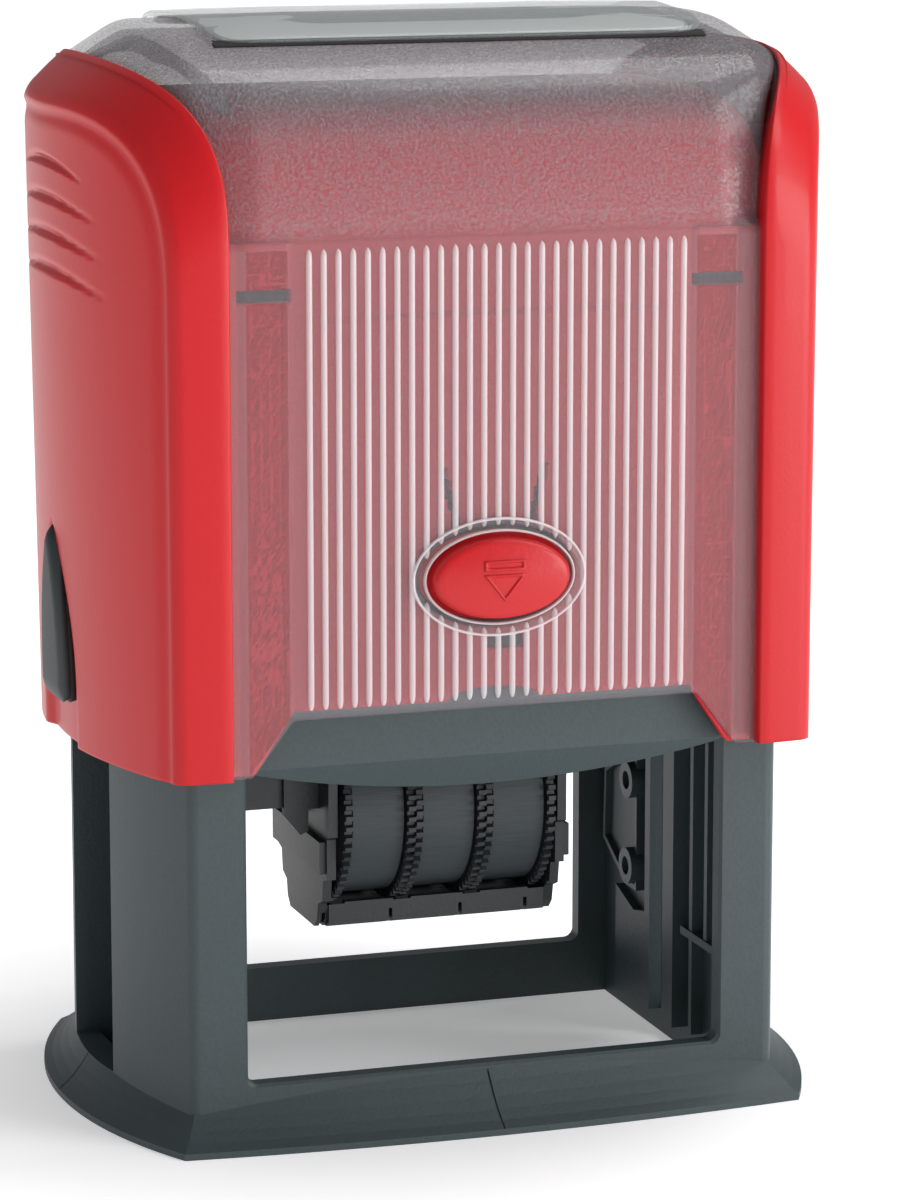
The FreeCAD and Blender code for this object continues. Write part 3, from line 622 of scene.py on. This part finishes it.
for side_name, sign in (("left", -1), ("right", 1)):
    turned = np.array([sign, 1, 1])
    seam_shade_mesh = sheet_mesh("seam_painted_shade_" + side_name, [np.array(seam_shade_rows) * turned], flips=[sign > 0])
    shade_strip = piece("seam_painted_shade_" + side_name, seam_shade_mesh, painted_shade, "casing")
    flange_name = "shoulder_flange_" + side_name
    flange_mesh = sheet_mesh(flange_name, [np.array(flange_rows) * turned], flips=[sign < 0])
    flange = piece(flange_name, flange_mesh, smoke_and_shade, "casing")
    for sheet, thickness in ((shade_strip, 0.3), (flange, 0.5)):
        thick = sheet.modifiers.new("thick", "SOLIDIFY")
        thick.thickness, thick.offset = thickness * MM, -1.0

collar_turn = np.linspace(0, 2 * np.pi, 97)


def collar_ring(profile):
    """A ring round the button: each (outward, y) of the profile is an oval about the button's gap."""
    grow, y = np.array(profile)[:, 0][:, None], np.array(profile)[:, 1][:, None]
    return np.stack([(7.9 + grow) * np.cos(collar_turn), y - COVER_FACE + 0 * collar_turn,
                     BUTTON_Z + (4.7 + grow) * np.sin(collar_turn)], axis=-1)


collar_grid = collar_ring([(0.0, 1.1), (0.0, -0.5), (0.2, -0.55), (0.8, -0.42), (1.3, -0.4), (1.5, -0.05),
                           (1.5, 1.1), (0.0, 1.1)])
collar_clear = clear_plastic("collar_clear", (0.55, 0.50, 0.52), 0.12, 0.10, 0.8)
piece("button_collar", sheet_mesh("button_collar", [collar_grid], flips=[True]), collar_clear,
      "casing")
# The pale rings along the collar's inner and outer edges are painted highlights on its glossy edges.
edge_highlight_grids = [collar_ring([(at, -0.4), (at + 0.05, lift), (at + 0.15, lift - 0.04), (at + 0.25, lift),
                           (at + 0.3, -0.3)]) for at, lift in ((0.0, -0.62), (1.22, -0.5))]
edge_highlight_clear = clear_plastic("edge_highlight_clear", (0.93, 0.88, 0.90), 0.55, 0.15, 0.6)
piece("collar_edge_highlights", sheet_mesh("collar_edge_highlights", edge_highlight_grids, flips=[True, True]), edge_highlight_clear,
      "casing")

RIBS, RIB_PITCH, RIB_FOOT, RIB_HEAD = 27, 1.546, 46.2, 93.4
RIB_HALF, RIB_PROUD, RIB_END = 0.33, 0.30, 0.9
rib_turn = np.linspace(0, np.pi, 9)


def rib(x, low, high, face, out):
    """A half-round rib up a wall: its section shrinks to a point in a quarter circle at each end."""
    run = np.sort(np.concatenate([low + RIB_END * (1 - np.cos(np.linspace(0, 0.5 * np.pi, 5))),
                                  high - RIB_END * np.sin(np.linspace(0.5 * np.pi, 0, 5))]))
    end = np.minimum(run - low, high - run)
    size = np.sqrt(np.clip(1 - (1 - np.clip(end / RIB_END, 0, 1)) ** 2, 0, 1))[:, None]
    return np.stack([x + RIB_HALF * size * np.cos(rib_turn),
                     face + out * (RIB_PROUD * size * np.sin(rib_turn) - 0.02),
                     np.repeat(run[:, None], len(rib_turn), 1)], axis=-1)


rib_grids, rib_flips = [], []
for number in range(RIBS):
    x = (number - RIBS // 2) * RIB_PITCH
    gap = 5.3 * math.sqrt(1 - (x / 8.5) ** 2) if abs(x) < 8.5 else 0
    stretches = [(RIB_FOOT, BUTTON_Z - gap), (BUTTON_Z + gap, RIB_HEAD)] if gap else [(RIB_FOOT, RIB_HEAD)]
    for low, high in stretches:
        rib_grids.append(rib(x, low, high, -COVER_FACE, -1))
        rib_flips.append(True)
    rib_grids.append(rib(x, 54.5, RIB_HEAD, COVER_FACE, 1))
    rib_flips.append(False)
# The ribs are real, but their pale colour is a painted highlight for the lamps' reflection along each
# glossy rib.
rib_highlight_clear = clear_plastic("rib_highlight_clear", (0.92, 0.86, 0.88), 0.53, 0.28, 0.4)
piece("cover_ribs", sheet_mesh("cover_ribs", rib_grids, flips=rib_flips), rib_highlight_clear, "casing")


# --- Label and its window --------------------------------------------------------------------
# A blank card lies on the cover's dome under a glossy clear cap, which snaps on and lifts off to
# change the card. The cap's thick edge looks dark.
def dome_slab(half_x, half_y, low, high, corner):
    """A closed slab that follows the dome, with rounded corners and a softened upper edge."""
    turn = np.linspace(0, 2 * np.pi, 129)
    rounder = 2 / corner
    unit_x = np.sign(np.cos(turn)) * np.abs(np.cos(turn)) ** rounder
    unit_y = np.sign(np.sin(turn)) * np.abs(np.sin(turn)) ** rounder
    rows = []
    for grow, lift in ((0.0, low), (0.5, low), (0.99, low), (1.0, low + 0.05), (1.0, high - 0.18),
                       (0.996, high - 0.05), (0.985, high), (0.8, high), (0.5, high), (0.0, high)):
        x, y = half_x * grow * unit_x, half_y * grow * unit_y
        rows.append(np.stack([x, y, dome_height(y, COVER_APEX + lift)], axis=-1))
    return np.array(rows)


card_white = grained(plastic("label_card", (0.90, 0.93, 0.91), 0.5), 1800, 0.05, 0.04, 0.05)
card_slab = dome_slab(26.0, 14.0, 0.04, 0.28, 14)
card = piece("blank_label", sheet_mesh("blank_label", [card_slab], flips=[False]), card_white, "casing")
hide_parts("label_card")
window_clear = clear_plastic("window_clear", (0.30, 0.33, 0.33), 0.42, 0.08, 1.0)
cap_slab = dome_slab(27.0, 15.0, 0.32, 0.9, 14)
cap = piece("label_cap", sheet_mesh("label_cap", [cap_slab], flips=[False]), window_clear, "label_cap")
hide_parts("label_window")

cap_line = np.linspace(-26.6, 26.6, 81)
cap_rows = [np.stack([cap_line, 0 * cap_line - y, dome_height(0 * cap_line + y, COVER_APEX + lift)],
                     axis=-1)
            for y, lift in ((14.0, 0.06), (15.12, 0.06), (15.16, 0.34), (14.0, 0.34))]
piece("cap_shadow_line", sheet_mesh("cap_shadow_line", [np.array(cap_rows)], flips=[True]),
      painted_shade, "label_cap")


# --- Lock button -----------------------------------------------------------------------------
# A red oval key with a crowned face and a raised bar and arrow on it: press down and lock. The
# dark latch plate behind it shows through the cover.
def oval_cap(half_x, half_z, profile):
    """A closed oval form: each (share, y) of the profile is a ring of that share of the oval."""
    turn = np.linspace(0, 2 * np.pi, 97)
    share, y = np.array(profile)[:, 0][:, None], np.array(profile)[:, 1][:, None]
    return np.stack([half_x * share * np.cos(turn), y + 0 * turn, BUTTON_Z + half_z * share * np.sin(turn)],
                    axis=-1)


LATCH_Z = 59.3
latch_turn = np.linspace(0, 2 * np.pi, 65)
latch_x = 5.8 * np.sign(np.cos(latch_turn)) * np.abs(np.cos(latch_turn)) ** 0.3
latch_z = LATCH_Z + 11.6 * np.sign(np.sin(latch_turn)) * np.abs(np.sin(latch_turn)) ** 0.3
latch_rows = [np.stack([latch_x * grow, 0 * latch_x + y, LATCH_Z + (latch_z - LATCH_Z) * grow], axis=-1)
              for grow, y in ((0.0, -23.2), (1.0, -23.2), (1.0, -22.6), (0.0, -22.6))]
latch_black = grained(plastic("latch_black", (0.03, 0.03, 0.034), 0.5), 2400, 0.2, 0.1, 0.2)
latch = piece("latch_plate", sheet_mesh("latch_plate", [np.array(latch_rows)], flips=[True]), latch_black,
              "button")
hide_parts("lock_slider")


KEY_X, KEY_Z, KEY_FACE, KEY_CROWN = 7.4, 4.2, 27.85, 0.55


def crown_face(x, z):
    """The depth of the button's crowned face."""
    return -KEY_FACE - KEY_CROWN * (1 - (x / KEY_X) ** 2 - ((z - BUTTON_Z) / KEY_Z) ** 2)


face_share = np.linspace(0, 0.93, 12)
key_profile = [(share, -KEY_FACE - KEY_CROWN * (1 - share ** 2)) for share in face_share]
key_profile += [(0.965, -27.78), (0.99, -27.5), (1.0, -27.15), (1.0, -24.9), (1.11, -24.9), (1.11, -24.35),
                (0.0, -24.35)]
button_red = plastic("button_red", (0.53, 0.006, 0.010), 0.38, coat=0.1, specular=0.36)
grained(button_red, 2000, 0.08, 0.03, 0.25)
key_mesh = sheet_mesh("lock_key", [oval_cap(KEY_X, KEY_Z, key_profile)], flips=[True])
key = piece("lock_key", key_mesh, button_red, "button")
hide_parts("lock_button")


def raised_mark(outline, middle, reach):
    """A mark with a raised border: rings inset from the outline by so many mm, towards a middle
    that is reach mm from its sides."""
    points = np.array(outline + outline[:1], float) - middle
    rows = []
    for inset, lift in ((0.0, 0.06), (0.03, -0.14), (0.09, -0.2), (0.22, -0.2), (0.28, -0.12), (0.32, 0.0),
                        (0.42, 0.0)):
        x, z = (middle + points * (1 - inset / np.array(reach))).T
        rows.append(np.stack([x, crown_face(x, z + BUTTON_Z) + lift, z + BUTTON_Z], axis=-1))
    return np.array(rows)


def finely(corners, pieces=8):
    """The outline through some corners, each side cut into equal pieces."""
    return [tuple(np.array(a) + (np.array(b) - np.array(a)) * i / pieces)
            for a, b in zip(corners, corners[1:] + corners[:1]) for i in range(pieces)]


marks = [raised_mark(finely([(-2.2, 0.95), (2.2, 0.95), (2.2, 2.05), (-2.2, 2.05)]), (0, 1.5), (2.2, 0.55)),
         raised_mark(finely([(-2.3, 0.6), (0.0, -2.3), (2.3, 0.6)]), (0, -0.57), (1.15, 1.15))]
piece("lock_mark", sheet_mesh("lock_mark", marks, flips=[True, True]), button_red, "button")


# --- Springs ---------------------------------------------------------------------------------
# Two steel return springs stand on the base frame's deck and push the casing up. Their end
# turns are closed, and they are built at their open length.
steel = plastic("spring_steel", (0.55, 0.55, 0.57), 0.28)
steel.node_tree.nodes["Principled BSDF"].inputs["Metallic"].default_value = 1.0
grained(steel, 900, 0.2, 0.1, 0.1)
COILS, CLOSED_PITCH, SPRING_FOOT, OPEN_RISE, COIL_RADIUS, WIRE_RADIUS = 11.5, 0.82, 54.4, 48.6, 5.0, 0.4
coil_run = np.linspace(0, 1, 521)
coil_turn = 2 * np.pi * COILS * coil_run
first_turn = np.clip(coil_run * COILS, 0, 1)
open_turns = np.clip(coil_run * COILS - 1, 0, COILS - 2)
last_turn = np.clip(coil_run * COILS - (COILS - 1), 0, 1)
coil_z = (SPRING_FOOT + CLOSED_PITCH * first_turn + (OPEN_RISE / (COILS - 2)) * open_turns
          + CLOSED_PITCH * last_turn)
wire_turn = np.linspace(0, 2 * np.pi, 11)
for side_name, x_middle in (("left", -16.0), ("right", 16.0)):
    spread = COIL_RADIUS + WIRE_RADIUS * np.cos(wire_turn)[None, :]
    coil = np.stack([x_middle + spread * np.cos(coil_turn)[:, None], spread * np.sin(coil_turn)[:, None],
                     coil_z[:, None] + WIRE_RADIUS * np.sin(wire_turn)[None, :]], axis=-1)
    for end in (0, -1):
        coil[end] = coil[end].mean(axis=0)
    spring = piece("spring_" + side_name, sheet_mesh("spring_" + side_name, [coil], flips=[True]), steel,
                   "base")
    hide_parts("return_spring_" + side_name)
    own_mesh(spring)


# --- Ink pad cartridge -----------------------------------------------------------------------
# A black polystyrene drawer slides in from the back, with its felt facing down over the die.
# The felt is soaked in violet ink, so it is nearly black, with paler tufts.
def felted(material, tuft, tuft_color):
    """Matted fibres on a material: coarse tufts that bump it and lift its colour towards another."""
    nodes, links = material.node_tree.nodes, material.node_tree.links
    shader = nodes["Principled BSDF"]
    place, mat_noise = nodes.new("ShaderNodeTexCoord"), nodes.new("ShaderNodeTexNoise")
    mat_noise.inputs["Scale"].default_value = tuft
    mat_noise.inputs["Detail"].default_value = 6.0
    mat_noise.inputs["Roughness"].default_value = 0.75
    links.new(place.outputs["Object"], mat_noise.inputs["Vector"])
    blend, bump = nodes.new("ShaderNodeMix"), nodes.new("ShaderNodeBump")
    blend.data_type = "RGBA"
    blend.inputs["A"].default_value = shader.inputs["Base Color"].default_value
    blend.inputs["B"].default_value = (*tuft_color, 1)
    links.new(mat_noise.outputs["Fac"], blend.inputs["Factor"])
    links.new(blend.outputs["Result"], shader.inputs["Base Color"])
    bump.inputs["Distance"].default_value = 0.0003
    links.new(mat_noise.outputs["Fac"], bump.inputs["Height"])
    links.new(bump.outputs["Normal"], shader.inputs["Normal"])
    return material


drawer_black = grained(plastic("drawer_black", (0.022, 0.026, 0.028), 0.42), 2200, 0.25, 0.1, 0.25)
inked_felt = felted(plastic("inked_felt", (0.004, 0.004, 0.018), 0.85), 2400, (0.030, 0.026, 0.085))
finish(["ink_pad_cartridge"], drawer_black)
finish(["ink_pad_foam"], inked_felt)


# --- Die holder, tape and text die -----------------------------------------------------------
# A black holder plate turns on two steel-hard pins. Pale foam tape holds the vulcanised rubber
# die on it, whose raised border and lines are stained by the ink.
holder_black = grained(plastic("holder_black", (0.020, 0.024, 0.026), 0.42), 2600, 0.3, 0.1, 0.3)
foam_tape = felted(plastic("foam_tape", (0.10, 0.10, 0.10), 0.8), 3500, (0.24, 0.24, 0.23))
die_rubber = felted(plastic("die_rubber", (0.10, 0.020, 0.030), 0.6), 700, (0.26, 0.060, 0.045))
finish(["holder_plate", "pivot_pin_left", "pivot_pin_right"], holder_black)
finish(["die_tape"], foam_tape)
finish(["text_die"], die_rubber)


# --- Date unit -------------------------------------------------------------------------------
# Three moulded wheels turn on a drawn steel axle in a black frame. Each carries a rubber band
# over the platen, and the bands are ground along their width.
def drawn(material, along, across):
    """Fine lines along X on a material, as drawing or grinding leaves them: noise that is long
    in X and short in Y and Z, as bump and as a change of shade."""
    nodes, links = material.node_tree.nodes, material.node_tree.links
    shader = nodes["Principled BSDF"]
    place, stretch = nodes.new("ShaderNodeTexCoord"), nodes.new("ShaderNodeMapping")
    stretch.inputs["Scale"].default_value = (along, across, across)
    lines, shade = nodes.new("ShaderNodeTexNoise"), nodes.new("ShaderNodeMapRange")
    lines.inputs["Scale"].default_value = 1.0
    links.new(place.outputs["Object"], stretch.inputs["Vector"])
    links.new(stretch.outputs["Vector"], lines.inputs["Vector"])
    shade.inputs["To Min"].default_value, shade.inputs["To Max"].default_value = 0.7, 1.3
    links.new(lines.outputs["Fac"], shade.inputs["Value"])
    tint, bump = nodes.new("ShaderNodeVectorMath"), nodes.new("ShaderNodeBump")
    tint.operation = "SCALE"
    tint.inputs[0].default_value = shader.inputs["Base Color"].default_value[:3]
    links.new(shade.outputs["Result"], tint.inputs["Scale"])
    links.new(tint.outputs["Vector"], shader.inputs["Base Color"])
    bump.inputs["Distance"].default_value = 0.00004
    links.new(lines.outputs["Fac"], bump.inputs["Height"])
    links.new(bump.outputs["Normal"], shader.inputs["Normal"])
    return material


unit_black = grained(plastic("unit_black", (0.016, 0.021, 0.023), 0.42), 2600, 0.3, 0.1, 0.3)
wheel_black = grained(plastic("wheel_black", (0.022, 0.027, 0.029), 0.34), 2600, 0.25, 0.1, 0.2)
band_rubber = drawn(plastic("band_rubber", (0.036, 0.046, 0.049), 0.58), 300, 5200)
axle_steel = drawn(plastic("axle_steel", (0.55, 0.55, 0.57), 0.26), 250, 4200)
axle_steel.node_tree.nodes["Principled BSDF"].inputs["Metallic"].default_value = 1.0
finish(["date_unit_frame", "date_platen"], unit_black)
finish([period + "_wheel" for period in ("day", "month", "year")], wheel_black)
finish([period + "_band" for period in ("day", "month", "year")], band_rubber)
finish(["wheel_axle"], axle_steel)
